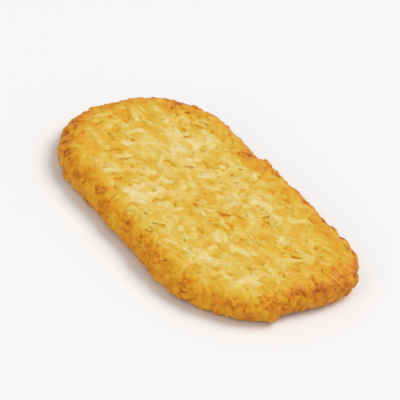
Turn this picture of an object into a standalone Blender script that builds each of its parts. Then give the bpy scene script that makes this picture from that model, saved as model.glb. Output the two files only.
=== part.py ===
"""Hash brown patty: one fried cake of pressed potato shreds, lying on its flat underside.

Metres, +Z up. +X runs along the length, +Y across the width. The origin is the middle of the base.
"""

import math
from collections import namedtuple

import bpy
import numpy as np
from mathutils import Vector, noise
from mathutils.bvhtree import BVHTree

# Driving dimensions of the pressed slab, before its crust relief.
LENGTH = 0.1090
WIDTH = 0.0675
THICKNESS = 0.0085
CORNER_RADII = {(1, 1): 0.0195, (-1, 1): 0.0240, (-1, -1): 0.0310, (1, -1): 0.0290}
SIDE_BULGE = 0.0006
CROWN = 0.0006

# The rounded rim: how far it draws in and how high it reaches, below and above its widest line.
LOW_RIM = (0.0036, 0.0037)
HIGH_RIM = (0.0068, 0.0048)

# Meshing: an even fine mesh carries the relief, and is then thinned to facets.
ARC_STEPS = 14
RIM_STEPS = 7
FINE_CELL = 0.00050
SOFTENING = 3
FACETS = 11400

# Slow waves of the whole slab: (size of a wave, height). They fade to this share on the underside.
SWELLS = ((0.026, 0.00055), (0.0090, 0.00045))
SWELL_SHARE_BELOW = 0.35

SEED = 27
SKIN_REACH = 0.0011
SIDE_TURN_DEGREES = 32

# Shreds: flat strips of potato pressed into the faces at every angle.
SHREDS = 2100
SHRED_HALF_LENGTH = (0.0018, 0.0058)
SHRED_HALF_WIDTH = (0.0009, 0.0018)
SHRED_RISE = (0.00040, 0.00078)
SHRED_LEVEL = (-0.00062, -0.00015)
SHRED_BEND = 42.0
SHRED_SLOPE = 0.035
MASH_LEVEL = -0.00050

# Crags: short crusty knobs, most of them round the rim.
CRAGS = 1000
CRAG_RADIUS = (0.0006, 0.0013)
CRAG_STRETCH = (1.0, 1.8)
CRAG_RISE = (0.00045, 0.00100)
CRAG_LEVEL = (-0.00060, 0.00005)
CRAG_SHARE_ON_FACES = 0.12

# Steps in the outline where a flake broke away: (place, way to the proud side, depth, length).
STEPS = (
    ((-0.0095, 0.0330), (1.0, 0.0), 0.0024, 0.0120),
    ((0.0545, -0.0080), (0.0, -1.0), 0.0018, 0.0130),
)
STEP_BLEND = 0.0032
STEP_REACH = 0.0085
STEP_SHARE_PROUD = 0.35

# Cracks in the top crust: (start, end, depth).
CRACKS = (
    ((-0.0095, 0.0340), (-0.0135, 0.0215), 0.0008),
    ((0.0050, -0.0088), (0.0163, 0.0030), 0.0005),
    ((-0.0290, -0.0200), (-0.0255, -0.0125), 0.0005),
)
CRACK_HALF_WIDTH = 0.0010
CRACK_WANDER = (0.0045, 0.0016)

# The underside is pressed flat at this height above the slab's own base, with all that is this near.
PRESSED_AT = -0.00028
PRESSED_DEPTH = 0.00007

Strip = namedtuple("Strip", "centre along across normal half_length half_width rise level bend slope")


def clear_scene():
    """Removes what the startup file holds."""
    for thing in list(bpy.data.objects):
        bpy.data.objects.remove(thing)


def outline(inset):
    """The slab's outline as a closed loop of points, drawn in by inset all round."""
    points = []
    for quarter, side in enumerate(((1, 1), (-1, 1), (-1, -1), (1, -1))):
        radius = CORNER_RADII[side] - inset
        centre_x = side[0] * (LENGTH / 2 - inset - radius)
        centre_y = side[1] * (WIDTH / 2 - inset - radius)
        for step in range(ARC_STEPS + 1):
            angle = math.radians(90) * (quarter + step / ARC_STEPS)
            x = centre_x + radius * math.cos(angle)
            y = centre_y + radius * math.sin(angle)
            points.append(bulged(x, y))
    return points


def bulged(x, y):
    """A point of the outline, moved out where the long and short sides belly."""
    along_x, along_y = 2 * x / LENGTH, 2 * y / WIDTH
    return (
        x + SIDE_BULGE * along_x * max(0.0, 1 - along_y**2),
        y + SIDE_BULGE * along_y * max(0.0, 1 - along_x**2),
    )


def rim_profile():
    """(inset, height) up the rounded rim, from the base's edge to the top's edge."""
    turns = [math.radians(90) * step / (RIM_STEPS - 1) for step in range(RIM_STEPS)]
    low = [(LOW_RIM[0] * (1 - math.sin(a)), LOW_RIM[1] * (1 - math.cos(a))) for a in turns[:-1]]
    high = [(HIGH_RIM[0] * (1 - math.sin(a)), THICKNESS - HIGH_RIM[1] * (1 - math.cos(a))) for a in turns]
    return low + list(reversed(high))


def slab_mesh():
    """The smooth slab: rings up the rounded rim, closed by a flat face above and below."""
    rings = [[(x, y, height) for x, y in outline(inset)] for inset, height in rim_profile()]
    count = len(rings[0])
    top = count * (len(rings) - 1)
    faces = [list(reversed(range(count))), [top + i for i in range(count)]]
    for low in range(0, top, count):
        high = low + count
        for i in range(count):
            after = (i + 1) % count
            faces.append([low + i, low + after, high + after, high + i])
    mesh = bpy.data.meshes.new("slab")
    mesh.from_pydata([point for ring in rings for point in ring], [], faces)
    return mesh


def evaluated(mesh, kind, **settings):
    """The mesh after one modifier of this kind."""
    holder = bpy.data.objects.new("holder", mesh)
    bpy.context.scene.collection.objects.link(holder)
    modifier = holder.modifiers.new(kind.title(), kind)
    for name, value in settings.items():
        setattr(modifier, name, value)
    graph = bpy.context.evaluated_depsgraph_get()
    made = bpy.data.meshes.new_from_object(holder.evaluated_get(graph))
    bpy.data.objects.remove(holder)
    return made


def points_of(mesh):
    """The mesh's vertex places as an array."""
    points = np.empty(len(mesh.vertices) * 3, np.float32)
    mesh.vertices.foreach_get("co", points)
    return points.reshape(-1, 3).astype(float)


def normals_of(mesh):
    """The mesh's vertex normals as an array."""
    normals = np.empty(len(mesh.vertices) * 3, np.float32)
    mesh.vertex_normals.foreach_get("vector", normals)
    return normals.reshape(-1, 3).astype(float)


def edges_of(mesh):
    """The mesh's edges as pairs of vertex numbers."""
    edges = np.empty(len(mesh.edges) * 2, np.int32)
    mesh.edges.foreach_get("vertices", edges)
    return edges.reshape(-1, 2)


def set_points(mesh, points):
    """Moves the mesh's vertices to these places."""
    mesh.vertices.foreach_set("co", points.astype(np.float32).ravel())
    mesh.update()


def scattered(draw, skin, count, share_on_faces=1.0):
    """(point, normal) pairs spread evenly over the slab's skin, with fewer on its two faces if asked."""
    low = np.array((-LENGTH / 2, -WIDTH / 2, 0.0)) - SKIN_REACH
    high = np.array((LENGTH / 2, WIDTH / 2, THICKNESS)) + SKIN_REACH
    found = []
    while len(found) < count:
        point, normal, _, away = skin.find_nearest(Vector(draw.uniform(low, high)))
        kept = draw.random() < share_on_faces + (1 - share_on_faces) * (1 - abs(normal.z))
        if away < SKIN_REACH and kept:
            found.append((point, normal))
    return found


def pressed_strip(draw, point, normal, half_length, half_width, rise, level):
    """One strip lying on the skin: at any angle on the faces, and mostly along the rim on the sides."""
    level_way = Vector((-normal.y, normal.x, 0.0))
    if abs(normal.z) > 0.6:
        level_way = Vector((1.0, 0.0, 0.0))
        turn = draw.uniform(0.0, math.pi)
    else:
        turn = draw.normal(0.0, math.radians(SIDE_TURN_DEGREES))
    across = normal.cross(level_way).normalized()
    along = across.cross(normal)
    turned = along * math.cos(turn) + across * math.sin(turn)
    return Strip(
        centre=np.array(point),
        along=np.array(turned),
        across=np.array(normal.cross(turned)),
        normal=np.array(normal),
        half_length=half_length,
        half_width=half_width,
        rise=rise,
        level=level,
        bend=draw.uniform(-SHRED_BEND, SHRED_BEND),
        slope=draw.uniform(-SHRED_SLOPE, SHRED_SLOPE),
    )


def all_strips(skin):
    """Every shred and crag of the patty."""
    draw = np.random.default_rng(SEED)
    strips = []
    for point, normal in scattered(draw, skin, SHREDS):
        spans = (SHRED_HALF_LENGTH, SHRED_HALF_WIDTH, SHRED_RISE, SHRED_LEVEL)
        half_length, half_width, rise, level = [draw.uniform(*span) for span in spans]
        strips.append(pressed_strip(draw, point, normal, half_length, half_width, rise, level))
    for point, normal in scattered(draw, skin, CRAGS, CRAG_SHARE_ON_FACES):
        spans = (CRAG_RADIUS, CRAG_RISE, CRAG_LEVEL, CRAG_STRETCH)
        radius, rise, level, stretch = [draw.uniform(*span) for span in spans]
        strips.append(pressed_strip(draw, point, normal, radius * stretch, radius, rise, level))
    return strips


def strip_relief(points, normals, strips):
    """How far the strips stand above or below the slab's skin at each point."""
    relief = np.full(len(points), MASH_LEVEL)
    for strip in strips:
        reach = strip.half_length + strip.half_width
        near = np.flatnonzero((np.abs(points - strip.centre) < reach).all(axis=1))
        away = points[near] - strip.centre
        along = away @ strip.along
        across = away @ strip.across - strip.bend * along**2
        body = 1 - (along / strip.half_length) ** 6 - (across / strip.half_width) ** 4
        inside = (body > 0) & (normals[near] @ strip.normal > 0.1)
        height = strip.level + strip.slope * along[inside] + strip.rise * np.sqrt(body[inside])
        spots = near[inside]
        relief[spots] = np.maximum(relief[spots], height)
    return relief


def waves(points, size, height):
    """Smooth noise over the points, with waves of this size and height."""
    return height * np.array([noise.noise(Vector(point / size)) for point in points])


def smooth_step(value):
    """0 below 0, 1 above 1, and an even curve between."""
    value = np.clip(value, 0.0, 1.0)
    return value * value * (3 - 2 * value)


def softened(values, edges, rounds):
    """The values at the vertices, each evened out with its neighbours' this many times."""
    shares = 1 + np.bincount(edges.ravel(), minlength=len(values))
    for _ in range(rounds):
        total = values + np.bincount(edges[:, 0], values[edges[:, 1]], len(values))
        total += np.bincount(edges[:, 1], values[edges[:, 0]], len(values))
        values = total / shares
    return values


def crack_depth(points):
    """How deep the cracks cut at each point of the top."""
    depth = np.zeros(len(points))
    wander = np.column_stack([waves(points + offset, *CRACK_WANDER) for offset in (0.0, LENGTH)])
    for start, end, deep in CRACKS:
        start, run = np.array(start), np.array(end) - np.array(start)
        from_start = points[:, :2] + wander - start
        share = np.clip(from_start @ run / (run @ run), 0.0, 1.0)
        away = np.linalg.norm(from_start - share[:, None] * run, axis=1)
        cut = smooth_step(1 - away / CRACK_HALF_WIDTH) * smooth_step(points[:, 2] / THICKNESS * 2 - 1)
        depth = np.maximum(depth, deep * cut)
    return depth


def stepped(points):
    """The points moved in on one side of each step of the outline, and a little out on the other."""
    moved = points.copy()
    for place, proud_way, depth, length in STEPS:
        place, proud_way = np.array(place), np.array(proud_way)
        outward = np.array((proud_way[1], -proud_way[0]))
        outward *= np.sign(outward @ place)
        away = points[:, :2] - place
        along = away @ proud_way
        sunk = 1 - STEP_SHARE_PROUD - smooth_step(along / STEP_BLEND + 0.5)
        inset = depth * np.exp(-np.abs(along) / length) * sunk
        near = smooth_step(1 + away @ outward / STEP_REACH)
        moved[:, :2] -= (inset * near)[:, None] * outward
    return moved


def crusted(mesh, skin):
    """Gives the even mesh of the slab its crown, outline steps, shreds, crags and cracks."""
    points, normals = points_of(mesh), normals_of(mesh)
    relief = softened(strip_relief(points, normals, all_strips(skin)), edges_of(mesh), SOFTENING)
    relief -= crack_depth(points)
    swell = sum(waves(points, size, height) for size, height in SWELLS)
    height_share = smooth_step(points[:, 2] / THICKNESS)
    relief += swell * (SWELL_SHARE_BELOW + (1 - SWELL_SHARE_BELOW) * height_share)
    shaped = stepped(points) + normals * relief[:, None]
    middle = (1 - (2 * points[:, 0] / LENGTH) ** 2) * (1 - (2 * points[:, 1] / WIDTH) ** 2)
    shaped[:, 2] += CROWN * np.clip(middle, 0.0, 1.0) * points[:, 2] / THICKNESS
    shaped[:, 2] = np.maximum(shaped[:, 2], PRESSED_AT)
    set_points(mesh, shaped)


def settled(mesh):
    """Centres the patty over the origin and stands its pressed underside on Z = 0."""
    points = points_of(mesh)
    points[points[:, 2] < PRESSED_AT + PRESSED_DEPTH, 2] = PRESSED_AT
    low, high = points.min(axis=0), points.max(axis=0)
    set_points(mesh, points - ((low[0] + high[0]) / 2, (low[1] + high[1]) / 2, low[2]))


def potato_material():
    """Golden fried potato with a faint sheen of oil."""
    material = bpy.data.materials.new("fried_potato")
    material.use_nodes = True
    shader = material.node_tree.nodes["Principled BSDF"]
    shader.inputs["Base Color"].default_value = (0.72, 0.46, 0.08, 1.0)
    shader.inputs["Roughness"].default_value = 0.48
    shader.inputs["Metallic"].default_value = 0.0
    return material


def make_patty():
    """Builds the patty as one closed faceted solid."""
    slab = slab_mesh()
    skin = BVHTree.FromPolygons([v.co for v in slab.vertices], [p.vertices for p in slab.polygons])
    fine = evaluated(slab, "REMESH", mode="VOXEL", voxel_size=FINE_CELL)
    crusted(fine, skin)
    triangles = sum(len(face.vertices) - 2 for face in fine.polygons)
    thinned = evaluated(fine, "DECIMATE", ratio=FACETS / triangles, use_collapse_triangulate=True)
    settled(thinned)
    thinned.shade_smooth()
    thinned.materials.append(potato_material())
    patty = bpy.data.objects.new("patty", thinned)
    bpy.context.scene.collection.objects.link(patty)


clear_scene()
make_patty()
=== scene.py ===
"""Looks of the hash brown patty: its crust at full detail, crisp shreds sunk in it, light and camera.

Metres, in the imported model's own frame: +X runs along the patty, +Y across it, +Z up. The slab, its
pressed shreds, swells, steps and cracks are those of the solid, so that the fine crust has the solid's
own form. Here the mash between the shreds stands a little higher, the crags are smaller and more and
keep to the rim, and lumps round the rim and a fine grain are added.
"""

import math
from collections import namedtuple

import bpy
import numpy as np
from mathutils import Matrix, Vector, noise
from mathutils.bvhtree import BVHTree


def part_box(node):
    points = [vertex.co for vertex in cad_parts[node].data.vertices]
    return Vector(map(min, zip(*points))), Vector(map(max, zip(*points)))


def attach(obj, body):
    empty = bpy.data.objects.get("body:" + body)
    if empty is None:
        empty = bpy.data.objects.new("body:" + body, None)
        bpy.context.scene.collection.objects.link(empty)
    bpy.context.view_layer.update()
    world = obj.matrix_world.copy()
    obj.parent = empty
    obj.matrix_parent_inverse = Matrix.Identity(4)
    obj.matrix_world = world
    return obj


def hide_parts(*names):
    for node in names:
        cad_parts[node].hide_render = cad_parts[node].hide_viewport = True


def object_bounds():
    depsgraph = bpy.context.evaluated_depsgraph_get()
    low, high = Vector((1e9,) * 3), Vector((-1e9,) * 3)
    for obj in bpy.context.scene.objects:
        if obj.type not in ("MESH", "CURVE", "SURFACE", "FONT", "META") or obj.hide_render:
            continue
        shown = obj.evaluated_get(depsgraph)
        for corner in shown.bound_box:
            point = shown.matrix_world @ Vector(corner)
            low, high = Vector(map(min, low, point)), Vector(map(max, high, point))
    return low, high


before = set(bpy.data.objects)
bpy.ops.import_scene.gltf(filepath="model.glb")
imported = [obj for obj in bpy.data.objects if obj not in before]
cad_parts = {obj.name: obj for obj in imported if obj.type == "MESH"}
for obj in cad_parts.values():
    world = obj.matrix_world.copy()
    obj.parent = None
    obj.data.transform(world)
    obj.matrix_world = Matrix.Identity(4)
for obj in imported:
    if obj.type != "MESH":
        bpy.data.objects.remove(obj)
solid_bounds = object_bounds()

# The slab under the crust, and its rounded rim: how far it draws in and how high it reaches.
LENGTH = 0.1090
WIDTH = 0.0675
THICKNESS = 0.0085
CORNER_RADII = {(1, 1): 0.0195, (-1, 1): 0.0240, (-1, -1): 0.0310, (1, -1): 0.0290}
SIDE_BULGE = 0.0006
CROWN = 0.0006
LOW_RIM = (0.0036, 0.0037)
HIGH_RIM = (0.0068, 0.0048)

# Meshing: an even fine mesh carries the relief, and is then thinned where it is flattest.
ARC_STEPS = 14
RIM_STEPS = 7
FINE_CELL = 0.00034
MOST_TRIANGLES = 198000

# Slow waves of the whole slab: (size of a wave, height). They fade to this share on the underside.
SWELLS = ((0.026, 0.00055), (0.0090, 0.00045))
SWELL_SHARE_BELOW = 0.35

# Strips are scattered at random places this near the slab's skin. Where the skin faces up or down by more
# than FACE_NORMAL_Z a strip lies at any angle, and elsewhere it turns about this far from level. The rim
# counts in full where the skin faces up or down by UPRIGHT or less.
SEED = 27
SKIN_REACH = 0.0011
FACE_NORMAL_Z = 0.6
SIDE_TURN_DEGREES = 32
UPRIGHT = 0.4
# A strip ends more squarely the higher these powers are, along and across it. It covers only such skin as
# faces its own way by at least this much.
STRIP_SQUARENESS = (6, 4)
STRIP_FACING = 0.1

# Shreds: flat strips of potato pressed into the patty at every angle. A shred's middle rises this far over
# its edges, which lie at its level above the slab's skin. The shred bends sideways and slopes a little.
SHREDS = 2100
SHRED_HALF_LENGTH = (0.0018, 0.0058)
SHRED_HALF_WIDTH = (0.0009, 0.0018)
SHRED_RISE = (0.00040, 0.00078)
SHRED_LEVEL = (-0.00062, -0.00015)
SHRED_BEND = 42.0
SHRED_SLOPE = 0.035

# Mash between the shreds: its tone, its level above the slab's skin, and its own grain (size, height). It
# fills the deeper gaps up to this far below the crust around them, which is the relief evened out this
# many times.
MASH_TONE = 0.5
MASH_LEVEL = -0.00030
MASH_GRAIN = (0.0013, 0.00012)
DEEPEST_GAP = 0.00042
BROAD_ROUNDS = 12

# Crags: short crusty knobs round the rim. A flat face keeps this share of those that come to lie on it.
CRAGS = 2400
CRAG_RADIUS = (0.0004, 0.0010)
CRAG_STRETCH = (1.0, 1.8)
CRAG_RISE = (0.00045, 0.00090)
CRAG_LEVEL = (-0.00045, 0.00010)
CRAG_SHARE_ON_FACES = 0.0

# Round lumps all round the rim, with creases between them. They are the folded noise times the gain,
# with the level taken off, so that they rise and sink alike.
LUMP_SIZE = 0.0065
LUMP_HEIGHT = 0.00060
LUMP_GAIN = 3.0
LUMP_LEVEL = 0.6

# Fine grain all over the crust: its size, and its height on the faces and at the rim.
GRAIN_SIZE = 0.0010
GRAIN_HEIGHT = 0.00005
GRAIN_RIM_HEIGHT = 0.00012

# Steps in the outline where a flake broke away: (place, way to the proud side, depth, length). A step is
# this wide, reaches this far in from the outline, and has this share of its depth on its proud side.
STEPS = (
    ((-0.0095, 0.0330), (1.0, 0.0), 0.0024, 0.0120),
    ((0.0545, -0.0080), (0.0, -1.0), 0.0018, 0.0130),
)
STEP_BLEND = 0.0032
STEP_REACH = 0.0085
STEP_SHARE_PROUD = 0.35

# Cracks in the top crust: (start, end, depth). They wander in waves of this (size, height).
CRACKS = (
    ((-0.0095, 0.0340), (-0.0135, 0.0215), 0.0008),
    ((0.0050, -0.0088), (0.0163, 0.0030), 0.0005),
    ((-0.0290, -0.0200), (-0.0255, -0.0125), 0.0005),
)
CRACK_HALF_WIDTH = 0.0010
CRACK_WANDER = (0.0045, 0.0016)

# The underside is pressed flat at this height above the slab's own base, with all that is this near.
PRESSED_AT = -0.00028
PRESSED_DEPTH = 0.00007

# Frying runs from 0, pale and soft, over 1, brown and crisp, to MOST_FRIED. These places are more or
# less fried than the rest: (x, y, reach along x, reach along y, change). This share of the change shows
# on the underside too, where the place is browner.
FRIED_BELOW = 0.35
FRIED_PLACES = (
    (0.0000, -0.0270, 0.0360, 0.0070, -0.12),
    (-0.0400, 0.0200, 0.0080, 0.0080, 0.12),
    (0.0450, 0.0120, 0.0120, 0.0200, 0.09),
    (-0.0440, 0.0020, 0.0100, 0.0180, 0.11),
    # This place is darker, at the -Y corner of the -x end.
    (-0.0400, -0.0220, 0.0090, 0.0080, 0.16),
    (0.0050, 0.0300, 0.0450, 0.0080, 0.08),
    (-0.0200, 0.0220, 0.0100, 0.0060, 0.12),
    (-0.0452, 0.0218, 0.0017, 0.0015, 0.35),
    (-0.0490, 0.0080, 0.0026, 0.0050, 0.06),
    (-0.0475, -0.0175, 0.0022, 0.0032, 0.15),
    (-0.0440, 0.0260, 0.0090, 0.0090, 0.12),
    (-0.0380, -0.0270, 0.0090, 0.0050, 0.08),
    (-0.0280, -0.0190, 0.0080, 0.0080, 0.13),
    (-0.0275, -0.0160, 0.0014, 0.0035, 0.22),
    (-0.0109, 0.0270, 0.0022, 0.0050, 0.34),
    (-0.0035, 0.0270, 0.0045, 0.0026, 0.22),
    (0.0097, 0.0240, 0.0035, 0.0026, 0.18),
    (0.0104, 0.0099, 0.0014, 0.0014, 0.52),
    (0.0133, -0.0018, 0.0021, 0.0015, 0.72),
    (0.0060, -0.0070, 0.0024, 0.0015, 0.40),
    (0.0320, 0.0260, 0.0050, 0.0030, 0.22),
    (0.0520, 0.0060, 0.0060, 0.0220, 0.10),
    (0.0480, -0.0200, 0.0120, 0.0140, -0.12),
    (0.0240, -0.0305, 0.0035, 0.0020, 0.12),
    (-0.0120, -0.0310, 0.0040, 0.0020, 0.22),
    (-0.0210, 0.0050, 0.0090, 0.0110, -0.24),
    (-0.0330, -0.0050, 0.0060, 0.0060, -0.06),
    (0.0000, 0.0190, 0.0080, 0.0050, -0.12),
    (-0.0050, -0.0210, 0.0050, 0.0040, -0.13),
    (0.0085, 0.0095, 0.0080, 0.0060, -0.13),
    (0.0120, -0.0140, 0.0050, 0.0090, -0.11),
    (0.0380, -0.0120, 0.0060, 0.0090, -0.06),
)
# The rest of the frying: all over, towards the rim, on the side, and in whole shreds that are pale or dark.
# The edge of each shred is browner, partly by real frying and partly as painted shade where it meets the
# crust, and the gaps are darker with painted shade. A zone is (where it starts, where it is full). Near the
# rim the pale shreds and the gaps count for this much less.
FRIED_ALL_OVER = 0.42
FRIED_RIM = 0.20
RIM_ZONE = (0.0126, 0.0006)
FRIED_SIDE = 0.22
SIDE_ZONE = (0.0045, 0.0010)
# Painted shade in the gaps, given as extra frying.
PAINTED_GAP_SHADE = 0.34
GAP_ZONE = (0.15, 0.85)
# The shred's edge: real browning, and painted shade where it meets the crust.
SHRED_EDGE_BROWNING_AND_SHADE = 0.16
SHRED_EDGE_LEVEL = 0.6
PALE_SHREDS = 0.22
PALE_TONES = (0.40, 0.15)
DARK_SHREDS = 0.12
DARK_RIM_SHREDS = 0.06
DARK_TONES = (0.62, 0.92)
RIM_CALM = 0.8
# From this share of the thickness on, a place counts more and more as the top.
UPPER_FROM = 0.375

# Crisp shreds: strips of potato half sunk in the crust, which bend as the pressed shreds do. Below its
# middle a shred is as many times thicker as the root says, so that no gap shows under it. The dip, the
# taper and the fade of its middle towards its ends and sides are (amount, power), and a higher power
# keeps them nearer to the end or side. A section is an ellipse where its two powers are 1, and boxier
# where they are less.
CRISP_SHREDS = 1000
CRISP_HALF_LENGTH = (0.0028, 0.0068)
CRISP_HALF_WIDTH = (0.00080, 0.00150)
CRISP_HALF_THICKNESS = (0.00022, 0.00034)
CRISP_HEIGHT = (-0.00028, 0.00002)
CRISP_ROOT = 2.4
CRISP_RIM_HEIGHT = 0.00035
CRISP_DIP = (0.00035, 4)
CRISP_TAPER = (0.60, 5)
# The fades also set where a shred's edge gets its browning and painted shade.
CRISP_END_FADE = (1.0, 3)
CRISP_SIDE_FADE = (0.9, 2)
CRISP_SQUARENESS = (0.9, 1.0)
CRISP_WOBBLE = 0.00005
CRISP_RINGS = 10
CRISP_SIDES = 10
CRISP_BASE_CLEARANCE = 0.00004

# The crust's colour in linear light as it fries, from soft and pale to dark brown: (fried, colour).
MOST_FRIED = 1.3
FRIED_COLOURS = (
    (0.00, (0.840, 0.675, 0.300)),
    (0.22, (0.800, 0.590, 0.150)),
    (0.45, (0.765, 0.480, 0.042)),
    (0.65, (0.765, 0.390, 0.012)),
    (0.85, (0.745, 0.290, 0.007)),
    (1.05, (0.600, 0.185, 0.005)),
    (1.30, (0.300, 0.075, 0.004)),
)
# Each noise below is (size, detail, roughness). Mottles, from broad patches to spots inside a shred, with
# how much they change the frying.
MOTTLES = (((0.0090, 2, 0.5), 0.24), ((0.0042, 1, 0.5), 0.72), ((0.0012, 3, 0.65), 0.42))
# Small brown specks: the part of the noise that they are, and how much more fried they are.
SPECKS = (0.0016, 1, 0.5)
SPECK_RANGE = (0.66, 0.74)
SPECK_FRIED = 0.30
# The potato's own colour wavers between two tints.
TINT_PATCHES = (0.0048, 1, 0.5)
TINT_RANGE = (0.35, 0.65)
TINTS = ((1.015, 0.980, 1.040), (0.995, 1.000, 0.920))
# Oil lies in patches that are smoother than the dry crust: (smooth, dry) roughness.
OIL_PATCHES = (0.0009, 2, 0.6)
OIL_RANGE = (0.3, 0.7)
ROUGHNESSES = (0.36, 0.58)
# Pores too fine for the mesh, and how high and strong they are.
PORES = ((0.0004, 3, 0.65), (0.0013, 2, 0.5))
PORE_HEIGHT = 0.00035
PORE_STRENGTH = 0.8
# What is the same all over: a faint gloss, light that soaks a little way in, and a thin coat of oil.
FINISH = {
    "Specular IOR Level": 0.14,
    "Subsurface Weight": 0.15,
    "Subsurface Radius": (1.0, 0.6, 0.3),
    "Subsurface Scale": 0.0005,
    "Coat Weight": 0.12,
    "Coat Roughness": 0.24,
}

# The floor's width, colour and roughness.
FLOOR_SIZE = 6.0
FLOOR_COLOUR = (0.86, 0.86, 0.86, 1.0)
FLOOR_ROUGHNESS = 0.6

# The camera: its way from the patty, which way is up in its picture, its distance and its angle of view.
VIEW_WAY = Vector((0.584, -0.581, 0.567)).normalized()
VIEW_UP = Vector((-0.595, 0.196, 0.780))
VIEW_DISTANCE = 0.57
VIEW_DEGREES = 13

# Broad suns: (way to it: right and back as the camera sees them, and up; spread in degrees; strength).
SUNS = {
    "key": ((0.32, 0.25, 0.55), 40, 1.74),
    "fill": ((-0.30, -0.45, 0.28), 50, 0.78),
}
SKY_STRENGTH = 0.53

Strip = namedtuple("Strip", "centre along across normal half_length half_width rise level bend slope")


def outline(inset):
    """The slab's outline as a closed loop of points, drawn in by inset all round."""
    points = []
    for quarter, side in enumerate(((1, 1), (-1, 1), (-1, -1), (1, -1))):
        radius = CORNER_RADII[side] - inset
        centre_x = side[0] * (LENGTH / 2 - inset - radius)
        centre_y = side[1] * (WIDTH / 2 - inset - radius)
        for step in range(ARC_STEPS + 1):
            angle = math.radians(90) * (quarter + step / ARC_STEPS)
            x = centre_x + radius * math.cos(angle)
            y = centre_y + radius * math.sin(angle)
            points.append(bulged(x, y))
    return points


def bulged(x, y):
    """A point of the outline, moved out where the long and short sides belly."""
    along_x, along_y = 2 * x / LENGTH, 2 * y / WIDTH
    return (
        x + SIDE_BULGE * along_x * max(0.0, 1 - along_y**2),
        y + SIDE_BULGE * along_y * max(0.0, 1 - along_x**2),
    )


def rim_profile():
    """(inset, height) up the rounded rim, from the base's edge to the top's edge."""
    turns = [math.radians(90) * step / (RIM_STEPS - 1) for step in range(RIM_STEPS)]
    low = [(LOW_RIM[0] * (1 - math.sin(a)), LOW_RIM[1] * (1 - math.cos(a))) for a in turns[:-1]]
    high = [(HIGH_RIM[0] * (1 - math.sin(a)), THICKNESS - HIGH_RIM[1] * (1 - math.cos(a))) for a in turns]
    return low + list(reversed(high))


def slab_mesh():
    """The smooth slab: rings up the rounded rim, closed by a flat face above and below."""
    rings = [[(x, y, height) for x, y in outline(inset)] for inset, height in rim_profile()]
    count = len(rings[0])
    top = count * (len(rings) - 1)
    faces = [list(reversed(range(count))), [top + i for i in range(count)]]
    for low in range(0, top, count):
        high = low + count
        for i in range(count):
            after = (i + 1) % count
            faces.append([low + i, low + after, high + after, high + i])
    mesh = bpy.data.meshes.new("slab")
    mesh.from_pydata([point for ring in rings for point in ring], [], faces)
    return mesh


def evaluated(mesh, kind, **settings):
    """The mesh after one modifier of this kind."""
    holder = bpy.data.objects.new("holder", mesh)
    bpy.context.scene.collection.objects.link(holder)
    modifier = holder.modifiers.new(kind.title(), kind)
    for name, value in settings.items():
        setattr(modifier, name, value)
    graph = bpy.context.evaluated_depsgraph_get()
    made = bpy.data.meshes.new_from_object(holder.evaluated_get(graph))
    bpy.data.objects.remove(holder)
    return made


def points_of(mesh):
    """The mesh's vertex places as an array."""
    points = np.empty(len(mesh.vertices) * 3, np.float32)
    mesh.vertices.foreach_get("co", points)
    return points.reshape(-1, 3).astype(float)


def normals_of(mesh):
    """The mesh's vertex normals as an array."""
    normals = np.empty(len(mesh.vertices) * 3, np.float32)
    mesh.vertex_normals.foreach_get("vector", normals)
    return normals.reshape(-1, 3).astype(float)


def edges_of(mesh):
    """The mesh's edges as pairs of vertex numbers."""
    edges = np.empty(len(mesh.edges) * 2, np.int32)
    mesh.edges.foreach_get("vertices", edges)
    return edges.reshape(-1, 2)


def set_points(mesh, points):
    """Moves the mesh's vertices to these places."""
    mesh.vertices.foreach_set("co", points.astype(np.float32).ravel())
    mesh.update()


def scattered(draw, skin, count, share_on_faces=1.0):
    """(point, normal) pairs spread evenly over the slab's skin, with fewer on its two faces if asked."""
    low = np.array((-LENGTH / 2, -WIDTH / 2, 0.0)) - SKIN_REACH
    high = np.array((LENGTH / 2, WIDTH / 2, THICKNESS)) + SKIN_REACH
    found = []
    while len(found) < count:
        point, normal, _, away = skin.find_nearest(Vector(draw.uniform(low, high)))
        kept = draw.random() < share_on_faces + (1 - share_on_faces) * (1 - abs(normal.z))
        if away < SKIN_REACH and kept:
            found.append((point, normal))
    return found


def pressed_strip(draw, point, normal, half_length, half_width, rise, level):
    """One strip lying on the skin: at any angle on the faces, and mostly along the rim on the sides."""
    level_way = Vector((-normal.y, normal.x, 0.0))
    if abs(normal.z) > FACE_NORMAL_Z:
        level_way = Vector((1.0, 0.0, 0.0))
        turn = draw.uniform(0.0, math.pi)
    else:
        turn = draw.normal(0.0, math.radians(SIDE_TURN_DEGREES))
    across = normal.cross(level_way).normalized()
    along = across.cross(normal)
    turned = along * math.cos(turn) + across * math.sin(turn)
    return Strip(
        centre=np.array(point),
        along=np.array(turned),
        across=np.array(normal.cross(turned)),
        normal=np.array(normal),
        half_length=half_length,
        half_width=half_width,
        rise=rise,
        level=level,
        bend=draw.uniform(-SHRED_BEND, SHRED_BEND),
        slope=draw.uniform(-SHRED_SLOPE, SHRED_SLOPE),
    )


def all_strips(skin):
    """Every shred and crag of the patty."""
    draw = np.random.default_rng(SEED)
    strips = []
    for point, normal in scattered(draw, skin, SHREDS):
        spans = (SHRED_HALF_LENGTH, SHRED_HALF_WIDTH, SHRED_RISE, SHRED_LEVEL)
        half_length, half_width, rise, level = [draw.uniform(*span) for span in spans]
        strips.append(pressed_strip(draw, point, normal, half_length, half_width, rise, level))
    for point, normal in scattered(draw, skin, CRAGS, CRAG_SHARE_ON_FACES):
        spans = (CRAG_RADIUS, CRAG_RISE, CRAG_LEVEL, CRAG_STRETCH)
        radius, rise, level, stretch = [draw.uniform(*span) for span in spans]
        strips.append(pressed_strip(draw, point, normal, radius * stretch, radius, rise, level))
    return strips


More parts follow.
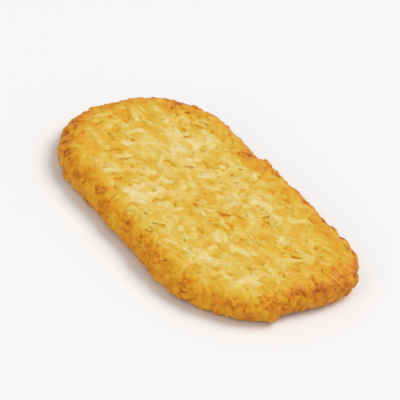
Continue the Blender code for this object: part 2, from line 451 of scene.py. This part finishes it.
def strip_relief(points, normals, strips):
    """At each point: the height above the slab's skin, the top strip's own tone, and how central it is."""
    tones = np.random.default_rng(SEED + 1).random(len(strips))
    relief = MASH_LEVEL + waves(points, *MASH_GRAIN)
    tone = np.full(len(points), MASH_TONE)
    body = np.zeros(len(points))
    order = np.argsort(points[:, 0])
    sorted_x = points[order, 0]
    end_power, side_power = STRIP_SQUARENESS
    for strip, strip_tone in zip(strips, tones):
        reach = strip.half_length + strip.half_width
        first, last = np.searchsorted(sorted_x, (strip.centre[0] - reach, strip.centre[0] + reach))
        near = order[first:last]
        near = near[(np.abs(points[near] - strip.centre) < reach).all(axis=1)]
        away = points[near] - strip.centre
        along = away @ strip.along
        across = away @ strip.across - strip.bend * along**2
        fill = 1 - (along / strip.half_length) ** end_power - (across / strip.half_width) ** side_power
        inside = (fill > 0) & (normals[near] @ strip.normal > STRIP_FACING)
        core = np.sqrt(fill[inside])
        height = strip.level + strip.slope * along[inside] + strip.rise * core
        on_top = height > relief[near[inside]]
        spots = near[inside][on_top]
        relief[spots] = height[on_top]
        tone[spots] = strip_tone
        body[spots] = core[on_top]
    return relief, tone, body


def waves(points, size, height):
    """Smooth noise over the points, with waves of this size and height."""
    return height * np.array([noise.noise(Vector(point / size)) for point in points])


def eased(value, start, full):
    """0 at start and before it, 1 at full and past it, and an even curve between."""
    share = np.clip((value - start) / (full - start), 0.0, 1.0)
    return share * share * (3 - 2 * share)


def softened(values, edges, rounds):
    """The values at the vertices, each evened out with its neighbours' this many times."""
    shares = 1 + np.bincount(edges.ravel(), minlength=len(values))
    for _ in range(rounds):
        gathered = values + np.bincount(edges[:, 0], values[edges[:, 1]], len(values))
        gathered += np.bincount(edges[:, 1], values[edges[:, 0]], len(values))
        values = gathered / shares
    return values


def crack_depth(points):
    """How deep the cracks cut at each point of the top."""
    depth = np.zeros(len(points))
    wander = np.column_stack([waves(points + offset, *CRACK_WANDER) for offset in (0.0, LENGTH)])
    for start, end, deep in CRACKS:
        start, run = np.array(start), np.array(end) - np.array(start)
        from_start = points[:, :2] + wander - start
        share = np.clip(from_start @ run / (run @ run), 0.0, 1.0)
        away = np.linalg.norm(from_start - share[:, None] * run, axis=1)
        cut = eased(away, CRACK_HALF_WIDTH, 0) * eased(points[:, 2], THICKNESS / 2, THICKNESS)
        depth = np.maximum(depth, deep * cut)
    return depth


def stepped(points):
    """The points moved in on one side of each step of the outline, and a little out on the other."""
    moved = points.copy()
    for place, proud_way, depth, length in STEPS:
        place, proud_way = np.array(place), np.array(proud_way)
        outward = np.array((proud_way[1], -proud_way[0]))
        outward *= np.sign(outward @ place)
        away = points[:, :2] - place
        along = away @ proud_way
        sunk = 1 - STEP_SHARE_PROUD - eased(along, -STEP_BLEND / 2, STEP_BLEND / 2)
        inset = depth * np.exp(-np.abs(along) / length) * sunk
        near = eased(away @ outward, -STEP_REACH, 0)
        moved[:, :2] -= (inset * near)[:, None] * outward
    return moved


def sideways(normals):
    """How much each point belongs to the rim: 0 on the faces, 1 where the skin stands upright or nearly."""
    return eased(np.abs(normals[:, 2]), 1.0, UPRIGHT)


def raised(points, normals, height):
    """Where points of the slab's skin come to lie in the patty when they stand this high above the skin."""
    swell = sum(waves(points, size, rise) for size, rise in SWELLS)
    upper = eased(points[:, 2], 0, THICKNESS)
    height = height + swell * (SWELL_SHARE_BELOW + (1 - SWELL_SHARE_BELOW) * upper)
    lumps = np.abs(waves(points, LUMP_SIZE, LUMP_GAIN)) - LUMP_LEVEL
    height += lumps * LUMP_HEIGHT * sideways(normals)
    placed = stepped(points) + normals * height[:, None]
    middle = (1 - (2 * points[:, 0] / LENGTH) ** 2) * (1 - (2 * points[:, 1] / WIDTH) ** 2)
    placed[:, 2] += CROWN * np.clip(middle, 0.0, 1.0) * points[:, 2] / THICKNESS
    return placed


def rim_distance(points):
    """How far in from the slab's outline each point lies, seen from above."""
    corners = [((points[:, 0] * x >= 0) & (points[:, 1] * y >= 0)) for x, y in CORNER_RADII]
    radius = np.select(corners, list(CORNER_RADII.values()))
    past_x = np.abs(points[:, 0]) - (LENGTH / 2 - radius)
    past_y = np.abs(points[:, 1]) - (WIDTH / 2 - radius)
    round_corner = np.hypot(np.maximum(past_x, 0), np.maximum(past_y, 0))
    return radius - round_corner - np.minimum(np.maximum(past_x, past_y), 0)


def fried_share(points, sunk, tone, body):
    """How brown each point is, from its place, its shred's tone and body, and painted shade by its depth in a
    gap and at its shred's edge.
    """
    rim_way = rim_distance(points)
    rim = eased(rim_way, *RIM_ZONE)
    upper = eased(points[:, 2], UPPER_FROM * THICKNESS, THICKNESS)
    calm = 1 - RIM_CALM * rim
    fried = FRIED_ALL_OVER + FRIED_RIM * rim + FRIED_SIDE * eased(rim_way, *SIDE_ZONE)
    # The edge of each shred: real browning, and painted shade where it meets the crust.
    fried += SHRED_EDGE_BROWNING_AND_SHADE * (SHRED_EDGE_LEVEL - body)
    # The gaps get painted shade, less near the rim; the pale shreds are their own colour.
    fried += calm * (PAINTED_GAP_SHADE * eased(sunk, *GAP_ZONE) - PALE_SHREDS * eased(tone, *PALE_TONES))
    fried += (DARK_SHREDS + DARK_RIM_SHREDS * rim) * eased(tone, *DARK_TONES)
    for x, y, reach_x, reach_y, change in FRIED_PLACES:
        away = ((points[:, 0] - x) / reach_x) ** 2 + ((points[:, 1] - y) / reach_y) ** 2
        below = FRIED_BELOW if change > 0 else 0.0
        fried += change * np.exp(-away) * (below + (1 - below) * upper)
    return fried


def keep_fried(mesh, fried):
    """Gives the mesh how brown each of its points is, by frying and painted shade, for the material to read.
    """
    layer = mesh.attributes.new("fried", "FLOAT", "POINT")
    layer.data.foreach_set("value", fried.astype(np.float32))


def crusted(mesh, skin):
    """Makes the crust of the slab's even mesh: its shreds, crags, cracks, lumps, grain, steps, frying and
    painted shade.
    """
    points, normals, edges = points_of(mesh), normals_of(mesh), edges_of(mesh)
    relief, tone, body = strip_relief(points, normals, all_strips(skin))
    crust_around = softened(relief, edges, BROAD_ROUNDS)
    relief = np.maximum(relief, crust_around - DEEPEST_GAP) - crack_depth(points)
    grain_height = GRAIN_HEIGHT + (GRAIN_RIM_HEIGHT - GRAIN_HEIGHT) * sideways(normals)
    relief += waves(points, GRAIN_SIZE, 1.0) * grain_height
    # Depth in a gap, which sets the painted shade there.
    sunk = (crust_around - relief) / DEEPEST_GAP
    keep_fried(mesh, fried_share(points, sunk, softened(tone, edges, 1), body))
    shaped = raised(points, normals, relief)
    shaped[:, 2] = np.maximum(shaped[:, 2], PRESSED_AT)
    set_points(mesh, shaped)


def settled(mesh):
    """Sets the crust over the solid, its underside on the same level, and tells how far it moved."""
    points = points_of(mesh)
    points[points[:, 2] < PRESSED_AT + PRESSED_DEPTH, 2] = PRESSED_AT
    low, high = points.min(axis=0), points.max(axis=0)
    solid_low, solid_high = [np.array(corner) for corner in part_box("patty")]
    move = (solid_low + solid_high - low - high) / 2
    move[2] = solid_low[2] - low[2]
    set_points(mesh, points + move)
    return move


def make_crust(skin, slab):
    """The whole patty's crust as one closed mesh, with the solid's form at full detail, and its last move."""
    fine = evaluated(slab, "REMESH", mode="VOXEL", voxel_size=FINE_CELL)
    crusted(fine, skin)
    triangles = sum(len(face.vertices) - 2 for face in fine.polygons)
    share = min(1.0, MOST_TRIANGLES / triangles)
    crust = evaluated(fine, "DECIMATE", ratio=share, use_collapse_triangulate=True)
    move = settled(crust)
    crust.shade_smooth()
    crust.name = "crust"
    return crust, move


def shred_form():
    """A shred's form: each point's place along, across and up through it, all -1 to 1, and its faces."""
    steps = np.linspace(-1, 1, CRISP_RINGS)
    turns = np.arange(CRISP_SIDES) * math.tau / CRISP_SIDES
    across = np.sign(np.cos(turns)) * np.abs(np.cos(turns)) ** CRISP_SQUARENESS[0]
    rise = np.sign(np.sin(turns)) * np.abs(np.sin(turns)) ** CRISP_SQUARENESS[1]
    form = np.array([(step, a, r) for step in steps for a, r in zip(across, rise)])
    faces = []
    for ring in range(CRISP_RINGS - 1):
        for side in range(CRISP_SIDES):
            after = (side + 1) % CRISP_SIDES
            low, high = ring * CRISP_SIDES, (ring + 1) * CRISP_SIDES
            faces.append([low + side, low + after, high + after, high + side])
    last = (CRISP_RINGS - 1) * CRISP_SIDES
    faces.append(list(reversed(range(CRISP_SIDES))))
    faces.append([last + side for side in range(CRISP_SIDES)])
    return form, faces


def reached(share, amount, power):
    """How much of the amount is reached at this share of the way out from the middle, -1 to 1."""
    return amount * np.abs(share) ** power


def crisp_shred(draw, skin, strip, form):
    """One shred's points, laid along the slab's skin, with its tone and how central each point is."""
    steps = np.unique(form[:, 0])
    ease = 1 - reached(steps, *CRISP_TAPER)
    route, ups = [], []
    for step in steps:
        along = step * strip.half_length
        spot = strip.centre + strip.along * along + strip.across * strip.bend * along**2
        point, normal, _, _ = skin.find_nearest(Vector(spot))
        route.append(point)
        ups.append(normal)
    route, ups = np.array(route), np.array(ups)
    line = raised(route, ups, strip.level - reached(steps, *CRISP_DIP) + CRISP_RIM_HEIGHT * sideways(ups))
    ways = np.gradient(line, axis=0)
    sides = np.cross(ups, ways)
    sides /= np.linalg.norm(sides, axis=1)[:, None]
    ring = np.repeat(np.arange(CRISP_RINGS), CRISP_SIDES)
    across = form[:, 1] * strip.half_width * ease[ring]
    rise = form[:, 2] * strip.rise * ease[ring] * np.where(form[:, 2] < 0, CRISP_ROOT, 1.0)
    points = line[ring] + sides[ring] * across[:, None] + ups[ring] * rise[:, None]
    points += CRISP_WOBBLE * draw.normal(size=points.shape)
    points[:, 2] = np.maximum(points[:, 2], PRESSED_AT + CRISP_BASE_CLEARANCE)
    body = (1 - reached(form[:, 0], *CRISP_END_FADE)) * (1 - reached(form[:, 1], *CRISP_SIDE_FADE))
    return points, np.full(len(points), draw.random()), body


def make_shreds(skin, move):
    """All crisp shreds as one mesh of closed strips."""
    draw = np.random.default_rng(SEED + 2)
    form, faces = shred_form()
    made = []
    for point, normal in scattered(draw, skin, CRISP_SHREDS):
        spans = (CRISP_HALF_LENGTH, CRISP_HALF_WIDTH, CRISP_HALF_THICKNESS, CRISP_HEIGHT)
        half_length, half_width, rise, level = [draw.uniform(*span) for span in spans]
        strip = pressed_strip(draw, point, normal, half_length, half_width, rise, level)
        made.append(crisp_shred(draw, skin, strip, form))
    points, tone, body = [np.concatenate(part) for part in zip(*made)]
    shreds = bpy.data.meshes.new("shreds")
    firsts = range(0, len(points), len(form))
    all_faces = [[first + corner for corner in face] for first in firsts for face in faces]
    shreds.from_pydata(points + move, [], all_faces)
    # Crisp shreds get painted shade at their edges, and none from gaps.
    keep_fried(shreds, fried_share(points, np.zeros(len(points)), tone, body))
    shreds.shade_smooth()
    return shreds


def node(tree, kind, inputs=None, **settings):
    """A new shader node with these settings. Each input is a value or another node's output."""
    made = tree.nodes.new("ShaderNode" + kind)
    for name, value in settings.items():
        setattr(made, name, value)
    for name, value in (inputs or {}).items():
        if isinstance(value, bpy.types.NodeSocket):
            tree.links.new(value, made.inputs[name])
        else:
            made.inputs[name].default_value = value
    return made


def noise_value(tree, place, size, detail, roughness):
    """Noise between 0 and 1 with features of this size."""
    inputs = {"Vector": place, "Scale": 1 / size, "Detail": detail, "Roughness": roughness}
    return node(tree, "TexNoise", inputs).outputs["Fac"]


def total(tree, first, second):
    """The sum of two values."""
    return node(tree, "Math", {0: first, 1: second}, operation="ADD").outputs[0]


def scaled(tree, value, share, shift=0.0):
    """The value times share, plus shift."""
    return node(tree, "Math", {0: value, 1: share, 2: shift}, operation="MULTIPLY_ADD").outputs[0]


def spread(tree, value, old, new, interpolation="LINEAR"):
    """The value, clipped to the old range and spread over the new one."""
    inputs = {"Value": value, "From Min": old[0], "From Max": old[1], "To Min": new[0], "To Max": new[1]}
    return node(tree, "MapRange", inputs, interpolation_type=interpolation).outputs["Result"]


def product(tree, first, second):
    """The product of two colours."""
    made = node(tree, "VectorMath", {0: first, 1: second}, operation="MULTIPLY")
    return made.outputs["Vector"]


def ramp(tree, value, stops):
    """The colour at this value, from a ramp through these stops: (value, colour)."""
    made = node(tree, "ValToRGB", {"Fac": value})
    elements = made.color_ramp.elements
    while len(elements) < len(stops):
        elements.new(1.0)
    for element, (position, colour) in zip(elements, stops):
        element.position = position
        element.color = (*colour, 1.0)
    return made.outputs["Color"]


def fried_colour(tree, place):
    """The crust's colour: from pale to brown as far as it is browned by frying and painted shade, mottled,
    specked and tinted.
    """
    # The attribute holds frying, and painted shade in the gaps and at the shreds' edges.
    fried = node(tree, "Attribute", attribute_name="fried").outputs["Fac"]
    for kind, change in MOTTLES:
        mottle = noise_value(tree, place, *kind)
        fried = total(tree, fried, scaled(tree, mottle, change, -change / 2))
    specks = noise_value(tree, place, *SPECKS)
    fried = total(tree, fried, spread(tree, specks, SPECK_RANGE, (0.0, SPECK_FRIED)))
    stops = [(share / MOST_FRIED, colour) for share, colour in FRIED_COLOURS]
    browned = ramp(tree, scaled(tree, fried, 1 / MOST_FRIED), stops)
    tint = ramp(tree, noise_value(tree, place, *TINT_PATCHES), list(zip(TINT_RANGE, TINTS)))
    return product(tree, browned, tint)


def oily_roughness(tree, place):
    """The crust's roughness: smooth where it is oily."""
    return spread(tree, noise_value(tree, place, *OIL_PATCHES), OIL_RANGE, ROUGHNESSES, "SMOOTHSTEP")


def pore_normal(tree, place):
    """The crust's normal, tilted by its pores."""
    pores = total(tree, *[noise_value(tree, place, *kind) for kind in PORES])
    bump = node(tree, "Bump", {"Height": pores, "Distance": PORE_HEIGHT, "Strength": PORE_STRENGTH})
    return bump.outputs["Normal"]


def fried_potato():
    """The crust's material: mottled from pale to brown by frying and painted shade, with a faint sheen of
    oil.
    """
    material = bpy.data.materials.new("fried_potato")
    material.use_nodes = True
    tree = material.node_tree
    shader = tree.nodes["Principled BSDF"]
    place = node(tree, "TexCoord").outputs["Object"]
    tree.links.new(fried_colour(tree, place), shader.inputs["Base Color"])
    tree.links.new(oily_roughness(tree, place), shader.inputs["Roughness"])
    tree.links.new(pore_normal(tree, place), shader.inputs["Normal"])
    for name, value in FINISH.items():
        shader.inputs[name].default_value = value
    return material


def show(name, data):
    """A new object with this data."""
    made = bpy.data.objects.new(name, data)
    bpy.context.scene.collection.objects.link(made)
    return made


def make_patty():
    """The crust and its crisp shreds, which together stand for the solid."""
    slab = slab_mesh()
    skin = BVHTree.FromPolygons([v.co for v in slab.vertices], [p.vertices for p in slab.polygons])
    crust, move = make_crust(skin, slab)
    shreds = make_shreds(skin, move)
    finish = fried_potato()
    for name, mesh in (("crust", crust), ("shreds", shreds)):
        mesh.materials.clear()
        mesh.materials.append(finish)
        piece = show(name, mesh)
        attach(piece, "root")
        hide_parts("patty")


def make_floor():
    """A wide, pale, matt floor under the patty."""
    floor = bpy.data.meshes.new("floor")
    corners = [(x * FLOOR_SIZE / 2, y * FLOOR_SIZE / 2, 0.0) for x, y in ((-1, -1), (1, -1), (1, 1), (-1, 1))]
    floor.from_pydata(corners, [], [(0, 1, 2, 3)])
    material = bpy.data.materials.new("pale_floor")
    material.use_nodes = True
    shader = material.node_tree.nodes["Principled BSDF"]
    shader.inputs["Base Color"].default_value = FLOOR_COLOUR
    shader.inputs["Roughness"].default_value = FLOOR_ROUGHNESS
    floor.materials.append(material)
    show("floor", floor)


def make_camera(middle):
    """The camera, turned about its line of sight so that the patty lies aslant in the picture."""
    across = VIEW_UP.cross(VIEW_WAY).normalized()
    place = Matrix((across, VIEW_WAY.cross(across), VIEW_WAY)).transposed().to_4x4()
    place.translation = middle + VIEW_WAY * VIEW_DISTANCE
    camera = bpy.data.cameras.new("camera")
    camera.lens_unit = "FOV"
    camera.angle = math.radians(VIEW_DEGREES)
    viewer = show("camera", camera)
    viewer.matrix_world = place
    bpy.context.scene.camera = viewer


def make_lights():
    """Soft daylight: a pale sky all round, a broad sun behind on the right, and a weaker one in front."""
    right = Vector((-VIEW_WAY.y, VIEW_WAY.x, 0.0)).normalized()
    back = Vector((-VIEW_WAY.x, -VIEW_WAY.y, 0.0)).normalized()
    for name, ((to_right, to_back, to_up), degrees, strength) in SUNS.items():
        light = bpy.data.lights.new(name, "SUN")
        light.angle = math.radians(degrees)
        light.energy = strength
        way = right * to_right + back * to_back + Vector((0.0, 0.0, to_up))
        show(name, light).rotation_euler = way.to_track_quat("Z", "Y").to_euler()
    world = bpy.data.worlds.new("sky")
    world.use_nodes = True
    sky = world.node_tree.nodes["Background"]
    sky.inputs["Color"].default_value = (1.0, 1.0, 1.0, 1.0)
    sky.inputs["Strength"].default_value = SKY_STRENGTH
    bpy.context.scene.world = world
    bpy.context.scene.view_settings.view_transform = "Standard"


make_patty()
make_floor()
make_camera((solid_bounds[0] + solid_bounds[1]) / 2)
make_lights()
